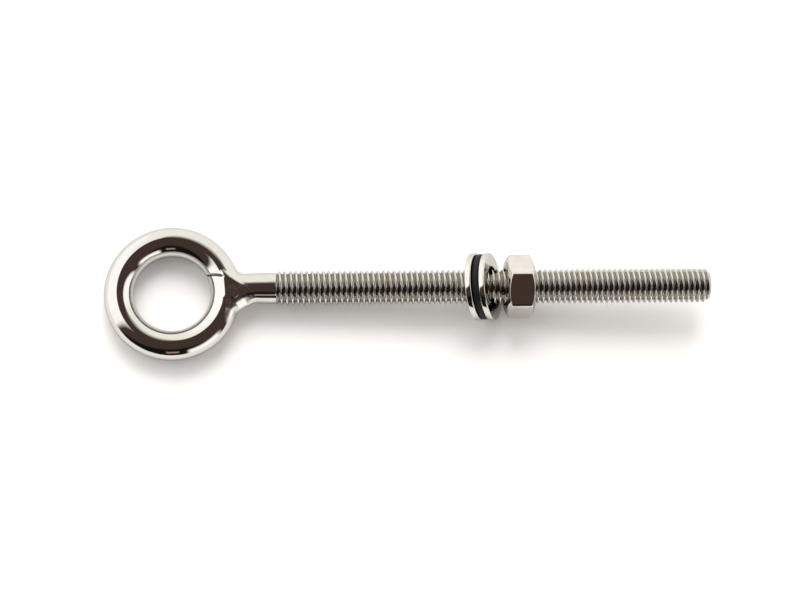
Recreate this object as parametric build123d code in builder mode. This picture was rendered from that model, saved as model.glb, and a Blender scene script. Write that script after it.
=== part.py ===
"""Welded eye bolt, M8 x 100, with a hexagon nut, two flat washers and a rubber sealing washer.

Frame: origin at the centre of the eye, +X along the shank towards its tip, +Z out of the eye's plane.
All sizes are in millimetres.
"""

import os
from math import cos, pi, radians, sin, sqrt, tan

from build123d import *

os.makedirs("parts", exist_ok=True)

# Eye and neck
eye_hole_d = 17.3
loop_bar_d = 6.75  # the bar draws thinner where it is bent round
neck_bar_d = 7.1  # the blank that an M8 thread is rolled on
neck_length = 8.2  # from the loop's outside to the first thread
neck_offset = 1.13  # how far the shank's axis lies to one side of the eye's centre
neck_taper_length = 6.0
bend_radius = 5.0  # of the bar's centre line where the neck turns into the loop
bend_turn = 60.0  # degrees turned there
closing_angle = 20.0  # where the loop's end meets the bar again, in degrees from +X
joint_angle = 300.0  # where the two halves of the loop are joined in the model

# Weld, ground to a straight fillet between the loop and the neck
weld_leg_neck = 3.0  # along the neck, from the crevice
weld_leg_loop = 1.75  # down the loop, from the crevice
weld_thickness = 4.6
weld_edge_radius = 1.0

# Thread: M8 x 1.25, right-hand
thread_d = 7.9
thread_pitch = 1.25
thread_depth = 0.7
thread_root_flat = 0.2
thread_length = 100.0
flank_angle = 30.0
run_in_length = 0.5  # cone from the neck's size up to the crests
tip_chamfer = 0.8
spare_turns = 2  # a helical thread is made this much longer at each end, and then trimmed

# Hexagon nut
nut_across_flats = 13.0
nut_height = 6.5
nut_face_d = 11.6
nut_chamfer_angle = 30.0
nut_edge_radius = 1.0
nut_entry_d = 8.7
nut_place = 52.5  # from the first thread to the nut's bearing face
nut_turn = 19.7  # degrees that a flat is turned from +Z towards -Y
thread_clearance_radial = 0.10
thread_clearance_flank = 0.06

# Washers, hanging loose and leaning back from the nut
washer_d = 15.6
washer_thickness = 1.4
rubber_d = 15.1
rubber_thickness = 1.4
washer_bore_clearance = 0.17  # past what a leaning washer needs round the thread
washer_lean = 22.5  # degrees from square
washer_gap = 0.04
washer_edge_radius = 0.2
nut_gap = 0.231  # along the axis, between the nut's face and the rear washer leaning past it

loop_radius = (eye_hole_d + loop_bar_d) / 2
loop_outer_r = loop_radius + loop_bar_d / 2
thread_start = loop_outer_r + neck_length
shank_end = thread_start + thread_length
thread_r = thread_d / 2
nut_front = thread_start + nut_place


def along_shank(distance, turned_out=0.0):
    """A plane square to the shank, its normal along +X, or leaning by an angle about Y."""
    lean = radians(turned_out)
    return Plane(
        origin=(distance, neck_offset, 0),
        x_dir=(0, 1, 0),
        z_dir=(cos(lean), 0, sin(lean)),
    )


def ridge_width(radius, flank_gap=0.0):
    """The width of the thread's ridge at a radius, along the axis."""
    slope = tan(radians(flank_angle))
    base = thread_pitch - thread_root_flat
    root_r = thread_r - thread_depth
    return base - 2 * (radius - root_r) * slope + 2 * flank_gap / cos(radians(flank_angle))


def helical_thread(first_turn, turns, radial_gap=0.0, flank_gap=0.0):
    """A solid screw on the shank's axis, its ridges in phase with the first thread.

    Its ends are helical ramps, so it is made longer than needed and then trimmed.
    """
    root_r = thread_r - thread_depth + radial_gap
    crest_r = thread_r + radial_gap
    base, top = ridge_width(root_r, flank_gap), ridge_width(crest_r, flank_gap)
    low, high = (thread_pitch - base) / 2, (thread_pitch + base) / 2
    profile = [
        (root_r, low),
        (crest_r, (thread_pitch - top) / 2),
        (crest_r, (thread_pitch + top) / 2),
        (root_r, high),
        (root_r, low + thread_pitch),
    ]
    helices = [Edge.make_helix(thread_pitch, thread_pitch, r, center=(0, 0, z)) for r, z in profile]
    strips = [Face.make_surface_from_curves(a, b) for a, b in zip(helices, helices[1:])]
    axis_line = Edge.make_line((0, 0, low), (0, 0, low + thread_pitch))
    ramp = Face.make_surface_from_curves(axis_line, helices[0])
    corners = [(0, 0, low)] + [(r, 0, z) for r, z in profile] + [(0, 0, low + thread_pitch)]
    step = Face(Wire.make_polygon(corners, close=True))
    steps_up = [Location((0, 0, turn * thread_pitch)) for turn in range(turns)]
    faces = [strip.moved(place) for place in steps_up for strip in strips]
    far_end = Location((0, 0, turns * thread_pitch))
    faces += [ramp, step, ramp.moved(far_end), step.moved(far_end)]
    start = thread_start + first_turn * thread_pitch
    return Solid(Shell(faces)).moved(along_shank(start).location)


# Eye and neck: one bar, bent round, its end brought back against the bend
tangent_angle = 90 - bend_turn
tangent_point = Vector(loop_radius, 0).rotate(Axis.Z, tangent_angle)
corner_drop = (tangent_point.Y - neck_offset) / cos(radians(tangent_angle))
bend_corner = (tangent_point.X + corner_drop * sin(radians(tangent_angle)), neck_offset)
bend_start_x = bend_corner[0] + bend_radius * tan(radians(bend_turn / 2))

with BuildPart() as eye_ring:
    with BuildLine() as bar_path:
        FilletPolyline(
            (bend_start_x + neck_taper_length, neck_offset),
            bend_corner,
            tuple(tangent_point)[:2],
            radius=bend_radius,
        )
        CenterArc((0, 0), loop_radius, tangent_angle, joint_angle - tangent_angle)
    with BuildSketch(Plane.YZ.offset(bend_start_x + neck_taper_length)):
        with Locations((neck_offset, 0)):
            Circle(loop_bar_d / 2)
    sweep(path=bar_path.line)
    with BuildSketch(Plane.XZ.rotated((0, 0, joint_angle))):
        with Locations((loop_radius, 0)):
            Circle(loop_bar_d / 2)
    revolve(axis=Axis.Z, revolution_arc=360 - joint_angle + closing_angle)
    with BuildSketch(Plane.XY):
        with BuildLine():
            Polyline(
                (bend_start_x, neck_offset),
                (thread_start, neck_offset),
                (thread_start, neck_offset + neck_bar_d / 2),
                (bend_start_x + neck_taper_length, neck_offset + neck_bar_d / 2),
                (bend_start_x, neck_offset + loop_bar_d / 2),
                close=True,
            )
        make_face()
    revolve(axis=Axis((0, neck_offset, 0), (1, 0, 0)))
eye_ring.part.label = "eye_ring"

# Weld: a wedge in the crevice between the loop's outside and the neck, trimmed to both
neck_side_y = neck_offset - neck_bar_d / 2
crevice_x = sqrt(loop_outer_r**2 - neck_side_y**2)
weld_on_neck = (crevice_x + weld_leg_neck, neck_side_y)
weld_low_y = neck_side_y - weld_leg_loop
weld_on_loop = (sqrt(loop_outer_r**2 - weld_low_y**2), weld_low_y)

with BuildPart() as weld_bead:
    with BuildSketch(Plane.XY.offset(-weld_thickness / 2)):
        with BuildLine():
            Polyline(
                weld_on_loop,
                weld_on_neck,
                (weld_on_neck[0], neck_offset),
                (crevice_x - loop_bar_d / 2, neck_offset),
                (weld_on_loop[0] - loop_bar_d / 2, weld_low_y),
                close=True,
            )
        make_face()
    extrude(amount=weld_thickness)
    ground_face = weld_bead.faces().sort_by(lambda face: face.normal_at().X - face.normal_at().Y)[-1]
    fillet(ground_face.edges().filter_by(Axis.Z, reverse=True), weld_edge_radius)
    add(eye_ring.part, mode=Mode.SUBTRACT)
weld_bead.part.label = "weld_bead"

# Threaded shank
turns_in_shank = round(thread_length / thread_pitch)

with BuildPart() as threaded_shank:
    add(helical_thread(-spare_turns, turns_in_shank + 2 * spare_turns))
    with BuildSketch(Plane.XY):
        with BuildLine():
            Polyline(
                (thread_start, neck_offset),
                (thread_start, neck_offset + neck_bar_d / 2),
                (thread_start + run_in_length, neck_offset + thread_r),
                (shank_end - tip_chamfer, neck_offset + thread_r),
                (shank_end, neck_offset + thread_r - tip_chamfer),
                (shank_end, neck_offset),
                close=True,
            )
        make_face()
    revolve(axis=Axis((0, neck_offset, 0), (1, 0, 0)), mode=Mode.INTERSECT)
threaded_shank.part.label = "threaded_shank"

# Washers: each is centred on the thread, and they lean as one against the edge of the nut's face
washer_stack = [
    ("front_washer", washer_d, washer_thickness),
    ("rubber_washer", rubber_d, rubber_thickness),
    ("rear_washer", washer_d, washer_thickness),
]
lean = radians(washer_lean)
lean_step = 1 / cos(lean)  # a leaning washer takes more of the thread's length
stack_thickness = sum(thickness for _, _, thickness in washer_stack) + 2 * washer_gap
stack_rear = nut_front - nut_face_d / 2 * tan(lean) - nut_gap
washer_front = stack_rear - stack_thickness * lean_step
pieces = [eye_ring, weld_bead, threaded_shank]

for label, diameter, thickness in washer_stack:
    bore_d = (thread_d + thickness * sin(lean)) / cos(lean) + washer_bore_clearance
    with BuildPart() as washer:
        with BuildSketch(along_shank(washer_front + thickness * lean_step / 2, washer_lean)):
            Circle(diameter / 2)
            Circle(bore_d / 2, mode=Mode.SUBTRACT)
        extrude(amount=thickness / 2, both=True)
        rims = washer.edges().filter_by(GeomType.CIRCLE).sort_by(SortBy.RADIUS)[-2:]
        fillet(rims, washer_edge_radius)
    washer.part.label = label
    pieces.append(washer)
    washer_front += (thickness + washer_gap) * lean_step

# Hexagon nut
nut_back = nut_front + nut_height
nut_corner_r = nut_across_flats / 2 / cos(pi / 6)
nut_face_r = nut_face_d / 2
chamfer_rise = (nut_corner_r - nut_face_r) * tan(radians(nut_chamfer_angle))
nut_minor_r = thread_r - thread_depth + thread_clearance_radial
entry_depth = nut_entry_d / 2 - nut_minor_r
first_nut_turn = int(nut_place / thread_pitch) - spare_turns
nut_thread_turns = int(nut_height / thread_pitch) + 1 + 2 * spare_turns
shank_axis = Axis((0, neck_offset, 0), (1, 0, 0))

with BuildPart() as hex_nut:
    with BuildSketch(along_shank(nut_front)):
        RegularPolygon(nut_across_flats / 2, 6, major_radius=False, rotation=nut_turn)
    extrude(amount=nut_height)
    fillet(hex_nut.edges().filter_by(Axis.X), nut_edge_radius)
    with BuildSketch(Plane.XY):
        with BuildLine():
            Polyline(
                (nut_front, neck_offset),
                (nut_front, neck_offset + nut_face_r),
                (nut_front + chamfer_rise, neck_offset + nut_corner_r),
                (nut_back - chamfer_rise, neck_offset + nut_corner_r),
                (nut_back, neck_offset + nut_face_r),
                (nut_back, neck_offset),
                close=True,
            )
        make_face()
    revolve(axis=shank_axis, mode=Mode.INTERSECT)
    add(
        helical_thread(first_nut_turn, nut_thread_turns, thread_clearance_radial, thread_clearance_flank),
        mode=Mode.SUBTRACT,
    )
    with BuildSketch(Plane.XY):
        for face_x, inward in ((nut_front, 1), (nut_back, -1)):
            with BuildLine():
                Polyline(
                    (face_x, neck_offset),
                    (face_x, neck_offset + nut_entry_d / 2),
                    (face_x + inward * entry_depth, neck_offset + nut_minor_r),
                    (face_x + inward * entry_depth, neck_offset),
                    close=True,
                )
            make_face()
    revolve(axis=shank_axis, mode=Mode.SUBTRACT)
hex_nut.part.label = "hex_nut"

pieces.append(hex_nut)

for piece in pieces:
    export_step(piece.part, f"parts/{piece.part.label}.step")
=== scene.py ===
"""The looks of the welded eye bolt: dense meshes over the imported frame, materials, floor, light, camera.

Shapes are worked out in millimetres in the frame's axes: +X along the shank, +Z out of the eye's plane.
"""
from math import atan2, cos, pi, radians, sin, sqrt, tan

import bpy
import numpy as np
from mathutils import Matrix, Vector


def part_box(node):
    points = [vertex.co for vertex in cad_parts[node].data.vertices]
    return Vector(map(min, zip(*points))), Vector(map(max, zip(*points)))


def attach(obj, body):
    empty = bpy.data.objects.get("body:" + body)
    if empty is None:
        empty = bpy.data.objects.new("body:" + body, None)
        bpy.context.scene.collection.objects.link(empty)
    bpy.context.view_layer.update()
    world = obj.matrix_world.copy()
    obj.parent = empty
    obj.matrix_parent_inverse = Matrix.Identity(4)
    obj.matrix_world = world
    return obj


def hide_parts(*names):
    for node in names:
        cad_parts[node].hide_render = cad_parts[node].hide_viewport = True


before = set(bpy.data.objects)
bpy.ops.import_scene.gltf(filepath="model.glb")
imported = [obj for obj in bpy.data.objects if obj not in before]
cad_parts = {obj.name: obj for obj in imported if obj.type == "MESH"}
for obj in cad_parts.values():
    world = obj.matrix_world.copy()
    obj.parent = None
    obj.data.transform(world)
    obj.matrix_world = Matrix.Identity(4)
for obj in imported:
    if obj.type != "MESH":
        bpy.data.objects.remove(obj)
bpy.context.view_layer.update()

MM = 0.001  # metres in a millimetre


def box_mm(node):
    """The lowest and highest corner of a CAD node, in millimetres."""
    low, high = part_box(node)
    return np.array(low) / MM, np.array(high) / MM


# ---- Sizes: overall ones from the frame, the rest named here ----
eye_low, eye_high = box_mm("eye_ring")
shank_low, shank_high = box_mm("threaded_shank")
nut_low, nut_high = box_mm("hex_nut")

LOOP_BAR_R = 3.375
BEND_RADIUS = 5.0
BEND_TURN = radians(60)
NECK_TAPER = 6.0
SEAM_START = (8.3, 3.9)  # the joint of the loop's end with the bar: at the hole, and at the crown
SEAM_END = (11.5, 3.3)
LOOP_OUTER_R = -eye_low[0]
LOOP_R = LOOP_OUTER_R - LOOP_BAR_R
NECK_R = eye_high[2]
THREAD_START = shank_low[0]
SHANK_END = shank_high[0]
THREAD_R = (shank_high[2] - shank_low[2]) / 2
AXIS_Y = (shank_high[1] + shank_low[1]) / 2

SEAM_ROUNDING = 0.5  # of the loop's cut end, where it meets the bar
SEAM_FILL = 0.12  # metal run into that joint on the hole's side
JOINT_FILL = 1.6  # and on the outer side, where the joint is welded over
SEAM_WIDTH = 0.14  # of the open line left on the hole's side
SEAM_DEPTH = 0.3
SEAM_REACH = 0.2  # how far the line runs past the loop's middle radius
SEAM_FADE = 0.7  # and how slowly it ends
JOINT_FILL_START = 0.8  # outside the loop's middle radius
JOINT_FILL_RISE = 2.5

# Weld metal between the loop's end and the bend, polished flush with the bar
FILLER_OUTLINE = [(11.4, 4.6), (11.9, -1.4), (14.2, -1.7), (16.5, 1.0)]
FILLER_HALF = 3.3
FILLER_ROUNDING = 0.6
FILLER_BLEND = 0.5

# The flat that polishing left on the loop beside the weld, on both faces
FLAT_SLOPE = radians(24)  # from the eye's plane, falling outwards
FLAT_TURN = radians(-15)  # where on the loop it lies, from +X
FLAT_DEPTH = 0.2
FLAT_ROUNDING = 0.15

# Unevenness, as (height, wavelength)
BAR_WAVE = (0.0022, 9.0)
WORKED_WAVES = ((0.006, 2.6), (0.012, 5.1))  # round the weld, where the bar was worked
WORKED_RADIUS = 5.5
WELD_WAVE = (0.05, 2.3)

WELD_FILL = 0.9  # how softly the bead runs out onto the bar
WELD_HALF_THICKNESS = 2.75
WELD_ROUNDING = 0.8
WELD_REACH = 2.5  # of the bead along the loop, past the foot of its ground face
WELD_SUNK = 0.4  # how deep under the bar's surface it is kept
GROUND_ROUNDING = 0.3
GROUND_EDGE = 0.9  # half the height of the upright part of the bead's ground face
WELD_LEG_NECK = 3.0
WELD_LEG_LOOP = 1.75

PITCH = 1.25
THREAD_DEPTH = 0.7
ROOT_FLAT = 0.2
FLANK = radians(30)
RUN_IN = 0.5
TIP_CHAMFER = 0.8
CREST_ROUNDING = 0.08
THREAD_GROOVE_SHADE = 0.55  # how dark the painted shade at the bottom of the thread is

ACROSS_FLATS = 13.0
NUT_FACE_R = 5.8
NUT_CHAMFER = radians(30)
NUT_TURN = radians(19.7)  # a flat's turn from +Z towards -Y
NUT_ENTRY_R = 4.35
NUT_CORNER_ROUNDING = 0.5
NUT_EDGE_ROUNDING = 0.14
NUT_THREAD_CLEARANCE = 0.1

WASHER_LEAN = radians(22.5)
WASHER_THICKNESS = 1.4
WASHER_R = 7.8
RUBBER_R = 7.55
WASHER_BORE_R = 4.65


# ---- Distance fields: below 0 inside a solid ----
FAR_AWAY = 1e3  # a distance that no other one reaches


def soft_min(a, b, width):
    """The lesser of two distances, with the corner between them rounded."""
    share = np.clip(0.5 + 0.5 * (b - a) / width, 0, 1)
    return b + (a - b) * share - width * share * (1 - share)


def soft_max(a, b, width):
    """The greater of two distances, rounded the same way."""
    return -soft_min(-a, -b, width)


def to_segment(plan, start, end):
    """Distance in the eye's plane to a straight run."""
    start, run = np.array(start), np.array(end) - np.array(start)
    along = np.clip((plan - start) @ run / (run @ run), 0, 1)
    return np.linalg.norm(plan - start - along[:, None] * run, axis=1)


def to_arc(plan, centre, radius, first, last):
    """Distance in the eye's plane to an arc that runs anticlockwise from first to last, in radians."""
    offset = plan - np.array(centre)
    middle, half = (first + last) / 2, (last - first) / 2
    angle = np.arctan2(offset[:, 1], offset[:, 0]) - middle
    angle = (angle + pi) % (2 * pi) - pi
    on_arc = np.abs(np.hypot(offset[:, 0], offset[:, 1]) - radius)
    ends = [np.array(centre) + radius * np.array([cos(a), sin(a)]) for a in (first, last)]
    off_arc = np.minimum(*(np.linalg.norm(plan - end, axis=1) for end in ends))
    return np.where(np.abs(angle) <= half, on_arc, off_arc)


def ripple(points, height, wavelength):
    """A smooth, uneven wave of about the given height, from three sines that are out of step."""
    x, y, z = (points * (2 * pi / wavelength)).T
    waves = (
        np.sin(x + 0.7 * y + 0.4 * np.sin(z))
        + np.sin(1.3 * y - 0.6 * z + 1.9 + 0.5 * np.sin(0.8 * x))
        + np.sin(0.9 * z + 0.8 * x - 1.1 * y + 4.2)
    )
    return height * (waves / 3)


TANGENT_ANGLE = pi / 2 - BEND_TURN
tangent_point = LOOP_R * np.array([cos(TANGENT_ANGLE), sin(TANGENT_ANGLE)])
corner_drop = (tangent_point[1] - AXIS_Y) / cos(TANGENT_ANGLE)
bend_corner = np.array([tangent_point[0] + corner_drop * sin(TANGENT_ANGLE), AXIS_Y])
bend_leg = BEND_RADIUS * tan(BEND_TURN / 2)
bend_start_x = bend_corner[0] + bend_leg
bend_centre = (bend_start_x, AXIS_Y + BEND_RADIUS)
bend_end = bend_corner + bend_leg * (tangent_point - bend_corner) / corner_drop
JUNCTION = np.array([LOOP_R + 3.0, AXIS_Y - 2.0, 0])  # the middle of the worked area round the weld


def past_seam(points):
    """How far points lie past the loop's cut end, and how much they are on the hole's side of the bar."""
    x, y = points[:, 0], points[:, 1]
    run = np.array(SEAM_END) - np.array(SEAM_START)
    past = ((y - SEAM_START[1]) * run[0] - (x - SEAM_START[0]) * run[1]) / np.hypot(*run)
    hole_side = np.clip((LOOP_R + SEAM_REACH - np.hypot(x, y)) / SEAM_FADE, 0, 1) * (x > 0)
    return past, hole_side


def seam_groove_and_shade(points):
    """1 in the open joint line, 0 away from it; it shapes the groove and the painted shade in it."""
    past, hole_side = past_seam(points)
    return np.exp(-((past / SEAM_WIDTH) ** 2)) * hole_side


def filler_distance(points):
    """The weld metal between the loop's end and the bend, flush with the top of the bar."""
    solid = np.abs(points[:, 2]) - FILLER_HALF
    for start, end in zip(FILLER_OUTLINE, FILLER_OUTLINE[1:] + FILLER_OUTLINE[:1]):
        run = np.array(end) - np.array(start)
        outward = np.array([run[1], -run[0]]) / np.hypot(*run)
        solid = soft_max(solid, (points[:, :2] - np.array(start)) @ outward, FILLER_ROUNDING)
    return solid


def eye_distance(points):
    """The bent bar: neck, bend, loop, and the loop's cut end brought back against the bend."""
    x, y, z = points.T
    plan = points[:, :2]
    bar_r = LOOP_BAR_R + (NECK_R - LOOP_BAR_R) * np.clip((x - bend_start_x) / NECK_TAPER, 0, 1)
    straight = to_segment(plan, (bend_start_x, AXIS_Y), (THREAD_START + LOOP_BAR_R, AXIS_Y))
    bend = to_arc(plan, bend_centre, BEND_RADIUS, -pi / 2 - BEND_TURN, -pi / 2)
    run = to_segment(plan, bend_end, tangent_point)
    lead = np.hypot(np.minimum(np.minimum(straight, bend), run), z) - bar_r
    turn = np.arctan2(y, x)
    ring = np.hypot(np.hypot(x, y) - LOOP_R, z) - LOOP_BAR_R
    flat_side = x * cos(FLAT_TURN) + y * sin(FLAT_TURN) - LOOP_R
    flat = flat_side * sin(FLAT_SLOPE) + np.abs(z) * cos(FLAT_SLOPE)
    ring = soft_max(ring, flat - LOOP_BAR_R + FLAT_DEPTH, FLAT_ROUNDING)
    loop = np.where((turn > TANGENT_ANGLE) | (turn < -pi / 4), ring, np.inf)
    past_end, _ = past_seam(points)
    closing = np.where(np.abs(turn) < pi / 2, soft_max(ring, past_end, SEAM_ROUNDING), np.inf)
    closing = np.where(turn <= -pi / 4, ring, closing)
    outer_side = np.clip((np.hypot(x, y) - LOOP_R - JOINT_FILL_START) / JOINT_FILL_RISE, 0, 1)
    fill = SEAM_FILL + (JOINT_FILL - SEAM_FILL) * outer_side**2 * (3 - 2 * outer_side)
    joined = soft_min(lead, np.minimum(closing, FAR_AWAY), fill)
    closed = soft_min(joined, filler_distance(points), FILLER_BLEND)
    bar = np.minimum(closed, loop) + SEAM_DEPTH * seam_groove_and_shade(points)
    near_weld = np.exp(-np.sum((points - JUNCTION) ** 2, axis=1) / WORKED_RADIUS**2)
    uneven = ripple(points, *BAR_WAVE) + near_weld * sum(ripple(points, *wave) for wave in WORKED_WAVES)
    return np.maximum(bar + uneven, x - THREAD_START)


side_y = AXIS_Y - NECK_R
crevice_x = sqrt(LOOP_OUTER_R**2 - side_y**2)
low_y = side_y - WELD_LEG_LOOP
on_loop = np.array([sqrt(LOOP_OUTER_R**2 - low_y**2), low_y])
on_neck = np.array([crevice_x + WELD_LEG_NECK, side_y])


def weld_distance(points):
    """The bead in the crevice between loop and neck, ground to a slanting face, run out onto the bar."""
    x, y, z = points.T
    plan = points[:, :2]
    along = (on_neck - on_loop) / np.linalg.norm(on_neck - on_loop)
    outward = np.array([along[1], -along[0]])
    slant = (plan - on_loop) @ outward
    wedge = soft_max(slant, (slant + np.abs(z) - GROUND_EDGE) / sqrt(2), GROUND_ROUNDING)
    wedge = soft_max(wedge, np.abs(z) - WELD_HALF_THICKNESS, WELD_ROUNDING)
    wedge = np.maximum(wedge, on_loop[0] - WELD_REACH - x)
    wedge = soft_max(wedge, x - on_neck[0], WELD_ROUNDING)
    wedge = np.maximum(wedge, y - AXIS_Y)
    bar = eye_distance(points)
    bead = soft_min(bar, wedge + ripple(points, *WELD_WAVE), WELD_FILL)
    return np.maximum(np.maximum(bead, wedge - WELD_FILL), -bar - WELD_SUNK)


def thread_radius(x, angle, crest_r):
    """The thread's radius at a place along the shank and an angle from +Y towards +Z."""
    phase = ((x - THREAD_START) / PITCH - angle / (2 * pi)) % 1.0
    from_middle = np.abs(phase - 0.5) * PITCH
    half_base = (PITCH - ROOT_FLAT) / 2
    flank = crest_r - THREAD_DEPTH + (half_base - from_middle) / tan(FLANK)
    under_crest = soft_min(flank, np.full_like(flank, crest_r), CREST_ROUNDING)
    return soft_max(under_crest, np.full_like(flank, crest_r - THREAD_DEPTH), 2 * CREST_ROUNDING)


def shank_distance(points):
    """The threaded shank with its run-in cone and tip chamfer, but without its flat ends."""
    x, y, z = points.T
    radius = np.hypot(y - AXIS_Y, z)
    thread = thread_radius(x, np.arctan2(z, y - AXIS_Y), THREAD_R)
    run_in = NECK_R + (THREAD_R - NECK_R) * (x - THREAD_START) / RUN_IN
    chamfer = THREAD_R - TIP_CHAMFER + (SHANK_END - x)
    return radius - np.minimum(np.minimum(thread, run_in), chamfer)


def nut_distance(points):
    """The hexagon nut: six flats, a chamfer at both faces, a threaded bore with a countersink at each end."""
    x, y, z = points.T
    y = y - AXIS_Y
    radius = np.hypot(y, z)
    solid = np.full_like(x, -FAR_AWAY)
    for flat in range(6):
        turn = NUT_TURN + flat * pi / 3
        solid = soft_max(solid, z * cos(turn) - y * sin(turn) - ACROSS_FLATS / 2, NUT_CORNER_ROUNDING)
    for into in (x - nut_low[0], nut_high[0] - x):
        chamfer = (radius - NUT_FACE_R) * sin(NUT_CHAMFER) - into * cos(NUT_CHAMFER)
        countersink = (NUT_ENTRY_R - into - radius) / sqrt(2)
        for cut in (-into, chamfer, countersink):
            solid = soft_max(solid, cut, NUT_EDGE_ROUNDING)
    bore_r = thread_radius(x, np.arctan2(z, y), THREAD_R) + NUT_THREAD_CLEARANCE
    return soft_max(solid, (bore_r - radius) * cos(FLANK), NUT_EDGE_ROUNDING / 2)


# ---- Meshes ----
def slope(distance, points, step=0.01):
    """The distance field's gradient at the points."""
    moves = np.eye(3) * step
    return np.stack([(distance(points + m) - distance(points - m)) / (2 * step) for m in moves], axis=1)


def settle(distance, points, rounds):
    """Moves the points onto the surface, along the gradient."""
    flattest, longest = 0.05, 0.3  # limits that keep a step short where the gradient fails
    for _ in range(rounds):
        gradient = slope(distance, points)
        steepness = np.maximum(np.sum(gradient**2, axis=1), flattest)
        points = points - np.clip(distance(points) / steepness, -longest, longest)[:, None] * gradient
    return points


def skin(distance, low, high, pitch):
    """Vertices, quads and normals of the surface where the distance is 0: surface nets, eased and settled."""
    low, high = np.array(low) - 2 * pitch, np.array(high) + 2 * pitch
    count = np.ceil((high - low) / pitch).astype(int) + 1
    axes = [low[a] + pitch * np.arange(count[a]) for a in range(3)]
    grid = np.stack(np.meshgrid(*axes, indexing="ij"), axis=-1)
    inside = (distance(grid.reshape(-1, 3)) < 0).reshape(count)
    corners = sum(
        inside[i : count[0] - 1 + i, j : count[1] - 1 + j, k : count[2] - 1 + k].astype(int)
        for i in (0, 1) for j in (0, 1) for k in (0, 1)
    )
    crossed = (corners > 0) & (corners < 8)
    number = np.full(crossed.shape, -1)
    number[crossed] = np.arange(crossed.sum())
    points = low + (np.argwhere(crossed) + 0.5) * pitch
    quads = []
    for a in range(3):
        b, c = (a + 1) % 3, (a + 2) % 3
        here = [slice(1, -1)] * 3
        here[a] = slice(0, -1)
        there = list(here)
        there[a] = slice(1, None)
        first, second = inside[tuple(here)], inside[tuple(there)]
        for leaving, order in ((True, 1), (False, -1)):
            edges = np.argwhere((first != second) & (first == leaving))
            edges[:, b] += 1
            edges[:, c] += 1
            round_edge = []
            for step_b, step_c in ((-1, -1), (0, -1), (0, 0), (-1, 0)):
                cell = edges.copy()
                cell[:, b] += step_b
                cell[:, c] += step_c
                round_edge.append(number[tuple(cell.T)])
            quads.append(np.stack(round_edge[::order], axis=1))
    quads = np.concatenate(quads)
    points = settle(distance, points, 4)
    for _ in range(3):
        total, shares = np.zeros_like(points), np.zeros(len(points))
        for k in range(4):
            for other in (1, 3):
                np.add.at(total, quads[:, k], points[quads[:, (k + other) % 4]])
                np.add.at(shares, quads[:, k], 1)
        points = settle(distance, 0.5 * points + 0.5 * total / shares[:, None], 2)
    points = settle(distance, points, 3)
    normals = slope(distance, points)
    return points, quads.tolist(), normals / np.linalg.norm(normals, axis=1)[:, None]


def piece(name, node, body, slot, material, points, faces, normals=None):
    """Makes a mesh that stands for a CAD node, rides on its body and has its finish."""
    mesh = bpy.data.meshes.new(name)
    mesh.from_pydata((points * MM).tolist(), [], faces)
    mesh.polygons.foreach_set("use_smooth", [True] * len(mesh.polygons))
    mesh.validate()
    if normals is not None:
        mesh.normals_split_custom_set_from_vertices(normals.tolist())
    mesh.materials.append(material)
    obj = bpy.data.objects.new(name, mesh)
    bpy.context.scene.collection.objects.link(obj)
    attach(obj, body)
    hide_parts(node)
    return obj


def thread_mesh(around=72):
    """The shank, open at both ends: rows along the helix, within the run-in cone and the tip's chamfer."""
    turns = round((SHANK_END - THREAD_START) / PITCH) + 2
    angle = np.arange(around) * 2 * pi / around
    root = ROOT_FLAT / PITCH / 2
    crest = 0.5 - (PITCH - ROOT_FLAT) / PITCH / 2 + THREAD_DEPTH * tan(FLANK) / PITCH
    by_root, by_crest = 0.03, 0.04  # how far the rows beside a corner of the thread are from it
    rising = [0, root - by_root, root + by_root, (root + crest) / 2, crest - by_crest, crest + by_crest]
    profile = np.array(rising + [0.5] + [1 - place for place in rising[:0:-1]])
    along = len(profile)
    row = np.arange(turns * along + 1)
    place = row // along + profile[row % along]
    x = THREAD_START - PITCH + place[:, None] * PITCH + PITCH * angle[None, :] / (2 * pi)
    x = np.clip(x, THREAD_START, SHANK_END)
    turned = np.broadcast_to(angle, x.shape)
    radius = thread_radius(x, turned, THREAD_R)
    run_in = NECK_R + (THREAD_R - NECK_R) * (x - THREAD_START) / RUN_IN
    chamfer = THREAD_R - TIP_CHAMFER + (SHANK_END - x)
    radius = np.minimum(np.minimum(radius, run_in), chamfer)
    points = np.stack([x, AXIS_Y + radius * np.cos(turned), radius * np.sin(turned)], axis=-1).reshape(-1, 3)
    normals = slope(shank_distance, points)
    normals /= np.linalg.norm(normals, axis=1)[:, None]
    faces = []
    for r in range(len(row) - 1):
        for k in range(around):
            step = along if k == around - 1 else 0  # the last column meets the first one a turn further on
            here, there = r * around + k, (r + step) * around + (k + 1) % around
            if r + 1 + step < len(row):
                faces.append((here, there, there + around, here + around))
    return points, faces, normals


def lathe(profile, around=128):
    """Turns a closed outline of (radius, height) about the first axis; returns points and quads."""
    angle = np.arange(around) * 2 * pi / around
    outline = np.array(profile)
    count = len(outline)
    points = np.stack(
        [
            np.repeat(outline[None, :, 1], around, axis=0),
            outline[None, :, 0] * np.cos(angle)[:, None],
            outline[None, :, 0] * np.sin(angle)[:, None],
        ],
        axis=-1,
    ).reshape(-1, 3)
    faces = []
    for k in range(around):
        for p in range(count):
            here, far = k * count, (k + 1) % around * count
            faces.append((here + p, here + (p + 1) % count, far + (p + 1) % count, far + p))
    return points, faces


def rounded_ring(inner, outer, half, edge_out, edge_in, steps=6):
    """The outline of a washer's section, its corners rounded."""
    outline = []
    for centre_r, centre_h, radius, first in (
        (outer - edge_out, half - edge_out, edge_out, 0),
        (inner + edge_in, half - edge_in, edge_in, 90),
        (inner + edge_in, -half + edge_in, edge_in, 180),
        (outer - edge_out, -half + edge_out, edge_out, 270),
    ):
        for k in range(steps + 1):
            turn = radians(first + 90 * k / steps)
            outline.append((centre_r + radius * cos(turn), centre_h + radius * sin(turn)))
    return outline


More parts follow.
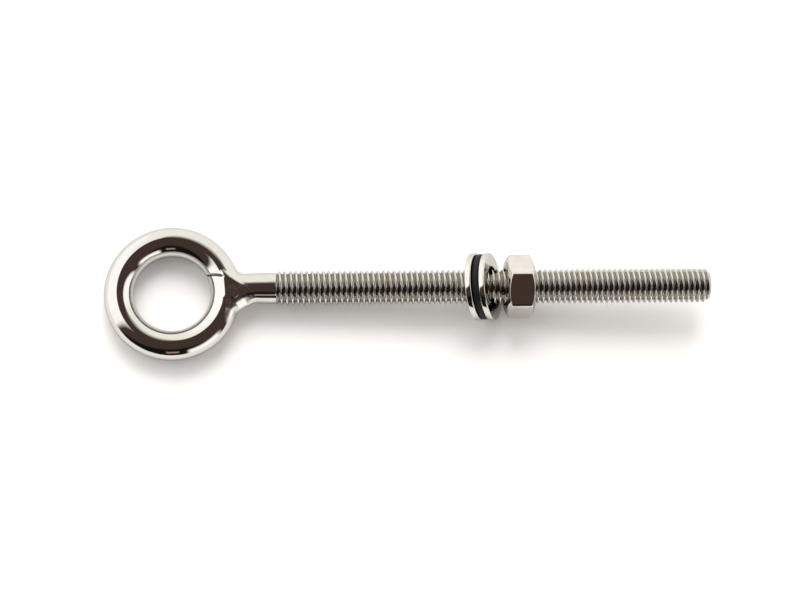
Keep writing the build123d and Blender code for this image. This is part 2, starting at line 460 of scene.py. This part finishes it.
def lean(points, centre):
    """Tips a turned piece back by the washers' lean and puts it on the shank."""
    x, y, z = points.T
    return np.stack(
        [
            centre[0] + x * cos(WASHER_LEAN) - z * sin(WASHER_LEAN),
            centre[1] + y,
            centre[2] + x * sin(WASHER_LEAN) + z * cos(WASHER_LEAN),
        ],
        axis=-1,
    )


# ---- Materials ----
def new_material(name):
    material = bpy.data.materials.new(name)
    material.use_nodes = True
    tree = material.node_tree
    return material, tree, tree.nodes["Principled BSDF"]


def add_noise(tree, scale, detail, stretch=(1, 1, 1), distortion=0.0):
    """A noise in the object's own coordinates, stretched along an axis if asked."""
    place = tree.nodes.new("ShaderNodeTexCoord")
    mapping = tree.nodes.new("ShaderNodeMapping")
    mapping.inputs["Scale"].default_value = stretch
    noise = tree.nodes.new("ShaderNodeTexNoise")
    noise.inputs["Scale"].default_value = scale
    noise.inputs["Detail"].default_value = detail
    noise.inputs["Distortion"].default_value = distortion
    tree.links.new(place.outputs["Object"], mapping.inputs["Vector"])
    tree.links.new(mapping.outputs["Vector"], noise.inputs["Vector"])
    return noise.outputs["Fac"]


def add_range(tree, value, low, high, out_low, out_high):
    """A value's stretch from low to high, laid onto the stretch from out_low to out_high."""
    node = tree.nodes.new("ShaderNodeMapRange")
    for socket, number in zip(("From Min", "From Max", "To Min", "To Max"), (low, high, out_low, out_high)):
        node.inputs[socket].default_value = number
    tree.links.new(value, node.inputs["Value"])
    return node.outputs["Result"]


def add_ramp(tree, value, stops):
    """A value turned into a colour, by stops of (place, colour)."""
    node = tree.nodes.new("ShaderNodeValToRGB")
    ramp = node.color_ramp
    for element, (place, colour) in zip(ramp.elements, (stops[0], stops[-1])):
        element.position, element.color = place, (*colour, 1)
    for place, colour in stops[1:-1]:
        ramp.elements.new(place).color = (*colour, 1)
    tree.links.new(value, node.inputs["Fac"])
    return node.outputs["Color"]


def add_bump(tree, height, distance, strength, under=None):
    """A bump of a distance in metres, laid over another bump if one is given."""
    node = tree.nodes.new("ShaderNodeBump")
    node.inputs["Distance"].default_value = distance
    node.inputs["Strength"].default_value = strength
    tree.links.new(height, node.inputs["Height"])
    if under is not None:
        tree.links.new(under, node.inputs["Normal"])
    return node.outputs["Normal"]


EDGE_TINT = (0.66, 0.66, 0.65, 1)  # how much steel reflects when seen nearly edge-on
# Near black, which painted shade in the thread's grooves and in the eye's joint line darkens steel towards;
# the joint line holds some dirt too
SHADE_AND_DIRT_COLOUR = (0.02, 0.016, 0.013, 1)

# Scales of the noises: the larger, the finer
WAVE_SCALE = 330
MOTTLE_SCALE = 260
POLISH_SCALE = 420
HEAT_SCALE = 520
WELD_POLISH_SCALE = 1500
DUST_SCALE = 1700
PIT_SCALE = 1900
SCRATCH_SCALE = 2600
GRAIN_SCALE = 4200

# Depths of the bumps, in metres
WAVE_DEPTH = 0.00004
PIT_DEPTH = 0.00003
GRAIN_DEPTH = 0.00003
SCRATCH_DEPTH = 0.000006


def steel(name, light, dark, smooth, rough, scratch, grain_along=(1, 1, 1)):
    """Stainless steel: a faint mottle, uneven polish, fine scratches along the way it was worked."""
    material, tree, shader = new_material(name)
    shader.inputs["Metallic"].default_value = 1.0
    shader.inputs["Specular Tint"].default_value = EDGE_TINT
    mottle = add_noise(tree, MOTTLE_SCALE, 5)
    scratches = add_noise(tree, SCRATCH_SCALE, 3, grain_along, 0.3)
    between = tuple(0.5 * (a + b) for a, b in zip(light, dark))
    colour = add_ramp(tree, mottle, [(0.3, dark), (0.5, light), (0.7, between)])
    # Painted shade: a vertex attribute darkens the base colour in the thread's grooves and in the eye's open
    # joint line, where there is some dirt too
    shade_and_dirt = tree.nodes.new("ShaderNodeAttribute")
    shade_and_dirt.attribute_name = "shade_and_dirt"
    shaded = tree.nodes.new("ShaderNodeMixRGB")
    shaded.inputs["Color2"].default_value = SHADE_AND_DIRT_COLOUR
    tree.links.new(shade_and_dirt.outputs["Fac"], shaded.inputs["Fac"])
    tree.links.new(colour, shaded.inputs["Color1"])
    tree.links.new(shaded.outputs["Color"], shader.inputs["Base Color"])
    worn = tree.nodes.new("ShaderNodeMath")
    worn.operation = "MULTIPLY"
    polish = add_range(tree, add_noise(tree, POLISH_SCALE, 6), 0.35, 0.7, 0.6, 1.0)
    tree.links.new(polish, worn.inputs[0])
    tree.links.new(add_range(tree, scratches, 0.4, 0.7, smooth, rough), worn.inputs[1])
    tree.links.new(worn.outputs["Value"], shader.inputs["Roughness"])
    waves = add_bump(tree, add_noise(tree, WAVE_SCALE, 2), WAVE_DEPTH, 0.35)
    tree.links.new(add_bump(tree, scratches, SCRATCH_DEPTH, scratch, waves), shader.inputs["Normal"])
    return material


POLISHED = steel("polished_steel", (0.635, 0.62, 0.60), (0.60, 0.58, 0.555), 0.03, 0.08, 0.2, (0.25, 0.25, 1))
THREAD = steel("thread_steel", (0.64, 0.62, 0.59), (0.57, 0.53, 0.48), 0.02, 0.06, 0.2)
WASHER = steel("washer_steel", (0.64, 0.63, 0.59), (0.57, 0.55, 0.50), 0.05, 0.12, 0.3)
NUT = steel("nut_steel", (0.63, 0.61, 0.58), (0.57, 0.545, 0.51), 0.05, 0.12, 0.3, (0.3, 1, 1))


def weld_metal():
    """Weld metal, ground and polished: rougher than the bar, faintly straw-tinted where it was hot."""
    material, tree, shader = new_material("weld_metal")
    shader.inputs["Metallic"].default_value = 1.0
    heat = add_noise(tree, HEAT_SCALE, 4)
    straw, bright, plain = (0.58, 0.55, 0.49), (0.64, 0.63, 0.60), (0.61, 0.60, 0.58)
    colour = add_ramp(tree, heat, [(0.3, straw), (0.5, bright), (0.75, plain)])
    tree.links.new(colour, shader.inputs["Base Color"])
    polish = add_range(tree, add_noise(tree, WELD_POLISH_SCALE, 5), 0.35, 0.7, 0.07, 0.24)
    tree.links.new(polish, shader.inputs["Roughness"])
    pits = add_bump(tree, add_noise(tree, PIT_SCALE, 4), PIT_DEPTH, 0.5)
    tree.links.new(pits, shader.inputs["Normal"])
    return material


def rubber():
    """Moulded black rubber: matt, with a fine grain and dusty specks."""
    material, tree, shader = new_material("black_rubber")
    dust = add_noise(tree, DUST_SCALE, 6)
    clean, worn, dusty = (0.004, 0.004, 0.005), (0.009, 0.009, 0.010), (0.03, 0.03, 0.03)
    colour = add_ramp(tree, dust, [(0.35, clean), (0.62, worn), (0.8, dusty)])
    tree.links.new(colour, shader.inputs["Base Color"])
    tree.links.new(add_range(tree, dust, 0.3, 0.7, 0.48, 0.72), shader.inputs["Roughness"])
    shader.inputs["Specular IOR Level"].default_value = 0.25
    grain = add_bump(tree, add_noise(tree, GRAIN_SCALE, 4), GRAIN_DEPTH, 0.6)
    tree.links.new(grain, shader.inputs["Normal"])
    return material


WELD = weld_metal()
RUBBER = rubber()

# ---- The pieces ----
def add_shade_and_dirt(obj, amount):
    """Says how much painted shade, and dirt in the eye's joint line, each vertex has, for the steel to read.
    """
    obj.data.attributes.new("shade_and_dirt", "FLOAT", "POINT").data.foreach_set("value", amount)


eye_pitch = 0.21
eye_mesh = skin(eye_distance, eye_low, eye_high, eye_pitch)
eye = piece("eye_ring_skin", "eye_ring", "eye_bolt", "polished_steel", POLISHED, *eye_mesh)
# Painted shade, with some dirt, darkens the eye's open joint line, where the narrow groove lies in shade
add_shade_and_dirt(eye, seam_groove_and_shade(eye_mesh[0]))

# The bead's mesh is open where its grid cuts it off: at its lowest x, its lowest y and its highest y.
WELD_PITCH = 0.13
WELD_MARGIN = 1.0
weld_low = (on_loop[0] - WELD_REACH, low_y - WELD_MARGIN / 2, -WELD_HALF_THICKNESS - WELD_MARGIN)
weld_high = (on_neck[0] + WELD_MARGIN, AXIS_Y, WELD_HALF_THICKNESS + WELD_MARGIN)
weld_mesh = skin(weld_distance, weld_low, weld_high, WELD_PITCH)
piece("weld_bead_skin", "weld_bead", "eye_bolt", "weld_metal", WELD, *weld_mesh)

shank_points, shank_faces, shank_normals = thread_mesh()
shank_mesh = (shank_points, shank_faces, shank_normals)
shank = piece("threaded_shank_skin", "threaded_shank", "eye_bolt", "thread_steel", THREAD, *shank_mesh)
groove_depth = THREAD_R - np.hypot(shank_points[:, 1] - AXIS_Y, shank_points[:, 2])
# Painted shade: the steel is darkened towards the bottom of the thread's grooves, the deeper the darker
add_shade_and_dirt(shank, THREAD_GROOVE_SHADE * np.clip(groove_depth / THREAD_DEPTH, 0, 1) ** 2)

nut_pitch = 0.16
nut_mesh = skin(nut_distance, nut_low, nut_high, nut_pitch)
piece("hex_nut_skin", "hex_nut", "hex_nut", "nut_steel", NUT, *nut_mesh)

# Node, finish, material, outer radius, and how far the outer and the inner edges are rounded
washers = [
    ("front_washer", "washer_steel", WASHER, WASHER_R, 0.28, 0.12),
    ("rubber_washer", "black_rubber", RUBBER, RUBBER_R, 0.42, 0.2),
    ("rear_washer", "washer_steel", WASHER, WASHER_R, 0.28, 0.12),
]
for node, finish, material, outer, edge_out, edge_in in washers:
    low, high = box_mm(node)
    outline = rounded_ring(WASHER_BORE_R, outer, WASHER_THICKNESS / 2, edge_out, edge_in)
    ring_points, ring_faces = lathe(outline)
    piece(node + "_skin", node, node, finish, material, lean(ring_points, (low + high) / 2), ring_faces)


# ---- Floor: a plane under the eye's outer end and the washers' lowest rim ----
washer_low, washer_high = box_mm("front_washer")
washer_middle = (washer_low + washer_high) / 2
rim_x = washer_middle[0] + WASHER_R * sin(WASHER_LEAN)
floor_slope = (washer_low[2] + LOOP_BAR_R) / (rim_x + LOOP_R)
FLOOR_HALF = 2.5  # metres

floor_mesh = bpy.data.meshes.new("floor")
floor_mesh.from_pydata(
    [(sx * FLOOR_HALF, sy * FLOOR_HALF, 0) for sx, sy in ((-1, -1), (1, -1), (1, 1), (-1, 1))],
    [],
    [(0, 1, 2, 3)],
)
floor = bpy.data.objects.new("floor", floor_mesh)
bpy.context.scene.collection.objects.link(floor)
floor.location = (-LOOP_R * MM, 0, -LOOP_BAR_R * MM)
floor.rotation_euler = (0, -atan2(floor_slope, 1), 0)
floor_material, _, floor_shader = new_material("floor")
floor_shader.inputs["Base Color"].default_value = (0.93, 0.92, 0.91, 1)
floor_shader.inputs["Roughness"].default_value = 0.9
floor_shader.inputs["Specular IOR Level"].default_value = 0.1
floor_mesh.materials.append(floor_material)


# ---- Surroundings: a white room with a dark ceiling over the bolt and a dark side towards -Y ----
ROOM_WHITE = (1.56, 1.55, 1.52)
FAR_WALL_COLOUR = (1.3, 1.3, 1.19)
CEILING_COLOUR = (0.078, 0.049, 0.040)
NEAR_WALL_COLOUR = (0.012, 0.010, 0.010)
WINDOW_COLOUR = (1.65, 1.58, 1.5)
LAMP_COLOUR = (0.44, 0.34, 0.30)

# Soft borders, each as (middle, width). A place in the room is a direction (x, y, z) of length 1 from the
# bolt, and a bearing is the direction's level part, made length 1 again.
CEILING_LEFT = (-0.29, 0.08)  # of x - CEILING_LEFT_LEAN * y
CEILING_LEFT_LEAN = 0.36
CEILING_LOW_LEFT = (0.2, 0.16)  # of y - CEILING_LOW_LEFT_LEAN * x
CEILING_LOW_LEFT_LEAN = 0.6
CEILING_RIGHT = (0.75, 0.16)  # of x + CEILING_RIGHT_LEAN * y
CEILING_RIGHT_LEAN = 0.56
CEILING_FAR = (0.57, 0.4)  # of y
CEILING_FOOT = (0.05, 0.2)  # of z
NEAR_WALL_EDGE = (-0.46, 0.2)  # of the bearing's y
NEAR_WALL_TOP = (-0.12, 0.18)  # of z + NEAR_WALL_TOP_LEAN * the bearing's y
NEAR_WALL_TOP_LEAN = 0.9
FAR_WALL_EDGE = (0.45, 0.3)  # of y
FAR_WALL_LEFT = (-0.35, 0.4)  # of x
NEAR_HALF = (0, 0.1)  # of the bearing's y: the side that the window and the lamp are on
WINDOW_SIDES = ((0.27, 0.12), (0.82, 0.12))  # of the bearing's x
WINDOW_TOP = (0.44, 0.32)  # of z
LAMP_SIDES = ((-0.15, 0.05), (0.08, 0.05))  # of x
LAMP_FOOT_AND_TOP = ((0.32, 0.06), (0.52, 0.06))  # of z


def make_world():
    """Paints the room from soft-edged parts, the later ones over the earlier."""
    world = bpy.data.worlds.new("studio")
    world.use_nodes = True
    tree = world.node_tree
    background = tree.nodes["Background"]
    place = tree.nodes.new("ShaderNodeTexCoord")
    split = tree.nodes.new("ShaderNodeSeparateXYZ")
    tree.links.new(place.outputs["Generated"], split.inputs["Vector"])
    x, y, z = (split.outputs[a] for a in "XYZ")

    def math(operation, a, b=0.0):
        node = tree.nodes.new("ShaderNodeMath")
        node.operation = operation
        for socket, value in zip(node.inputs, (a, b)):
            if isinstance(value, (int, float)):
                socket.default_value = value
            else:
                tree.links.new(value, socket)
        return node.outputs["Value"]

    def rise(value, border):
        """0 below the border's middle, 1 above it, soft across its width."""
        middle, width = border
        node = tree.nodes.new("ShaderNodeMapRange")
        node.interpolation_type = "SMOOTHSTEP"
        node.inputs["From Min"].default_value = middle - width / 2
        node.inputs["From Max"].default_value = middle + width / 2
        tree.links.new(value, node.inputs["Value"])
        return node.outputs["Result"]

    def fall(value, border):
        return math("SUBTRACT", 1.0, rise(value, border))

    def between(value, borders):
        return every(rise(value, borders[0]), fall(value, borders[1]))

    def every(*parts):
        """Where all the parts are."""
        result = parts[0]
        for part in parts[1:]:
            result = math("MULTIPLY", result, part)
        return result

    def paint(under, colour, share):
        """Lays a colour over what is under it, as far as the share says."""
        node = tree.nodes.new("ShaderNodeMix")
        node.data_type = "RGBA"
        bottom, top = [socket for socket in node.inputs if socket.type == "RGBA"]
        if isinstance(under, tuple):
            bottom.default_value = (*under, 1)
        else:
            tree.links.new(under, bottom)
        top.default_value = (*colour, 1)
        tree.links.new(share, node.inputs["Factor"])
        return [socket for socket in node.outputs if socket.type == "RGBA"][0]

    level = math("SQRT", math("ADD", math("MULTIPLY", x, x), math("MULTIPLY", y, y)))
    bearing_x, bearing_y = math("DIVIDE", x, level), math("DIVIDE", y, level)
    left_edge = math("SUBTRACT", x, math("MULTIPLY", y, CEILING_LEFT_LEAN))
    low_left_edge = math("SUBTRACT", y, math("MULTIPLY", x, CEILING_LOW_LEFT_LEAN))
    right_edge = math("ADD", x, math("MULTIPLY", y, CEILING_RIGHT_LEAN))
    left = math("MAXIMUM", rise(left_edge, CEILING_LEFT), fall(low_left_edge, CEILING_LOW_LEFT))
    right = fall(right_edge, CEILING_RIGHT)
    ceiling = every(left, right, fall(y, CEILING_FAR), rise(z, CEILING_FOOT))
    near_top = math("ADD", z, math("MULTIPLY", bearing_y, NEAR_WALL_TOP_LEAN))
    near_wall = every(fall(bearing_y, NEAR_WALL_EDGE), fall(near_top, NEAR_WALL_TOP))
    near_half = fall(bearing_y, NEAR_HALF)
    window = every(between(bearing_x, WINDOW_SIDES), near_half, fall(z, WINDOW_TOP))
    lamp = every(between(x, LAMP_SIDES), near_half, between(z, LAMP_FOOT_AND_TOP))
    far_wall = every(rise(y, FAR_WALL_EDGE), rise(x, FAR_WALL_LEFT))

    colour = paint(ROOM_WHITE, FAR_WALL_COLOUR, far_wall)
    colour = paint(colour, CEILING_COLOUR, ceiling)
    colour = paint(colour, NEAR_WALL_COLOUR, near_wall)
    colour = paint(colour, WINDOW_COLOUR, window)
    colour = paint(colour, LAMP_COLOUR, lamp)
    tree.links.new(colour, background.inputs["Color"])
    background.inputs["Strength"].default_value = 1.0
    bpy.context.scene.world = world


make_world()


LIGHT_DISTANCE = 1.2  # metres, from the middle of the bolt


def add_softbox(name, direction, power, width):
    """A broad lamp that lights the floor, and that polished metal doesn't mirror."""
    lamp = bpy.data.lights.new(name, "AREA")
    lamp.shape = "DISK"
    lamp.size = width
    lamp.energy = power
    holder = bpy.data.objects.new(name, lamp)
    bpy.context.scene.collection.objects.link(holder)
    away = Vector(direction).normalized()
    holder.location = Vector((MM * SHANK_END / 2, 0, 0)) + away * LIGHT_DISTANCE
    holder.rotation_euler = away.to_track_quat("Z", "Y").to_euler()
    holder.visible_glossy = False
    return holder


add_softbox("key_light", (0.0, 0.95, 1.0), 9.0, 0.8)
add_softbox("overhead_fill", (0.0, 0.0, 1.0), 11.5, 3.0)


# ---- Camera: above the bolt, a little to the near side ----
def make_camera():
    azimuth, elevation, roll = radians(-18.47), radians(77.2), radians(17.61)
    distance = 389.4
    target = Vector((51.82, -1.85, 0))
    away = Vector((sin(azimuth) * cos(elevation), -cos(azimuth) * cos(elevation), sin(elevation)))
    right = Vector((cos(azimuth), sin(azimuth), 0))
    up = away.cross(right)
    turned_right = cos(roll) * right + sin(roll) * up
    turned_up = -sin(roll) * right + cos(roll) * up
    camera = bpy.data.objects.new("camera", bpy.data.cameras.new("camera"))
    camera.data.sensor_width = 36.0
    camera.data.lens = 76.5
    camera.data.clip_start = 0.01
    bpy.context.scene.collection.objects.link(camera)
    camera.matrix_world = Matrix.Translation((target + away * distance) * MM) @ Matrix(
        (turned_right, turned_up, away)
    ).transposed().to_4x4()
    bpy.context.scene.camera = camera


make_camera()
bpy.context.scene.view_settings.view_transform = "Standard"
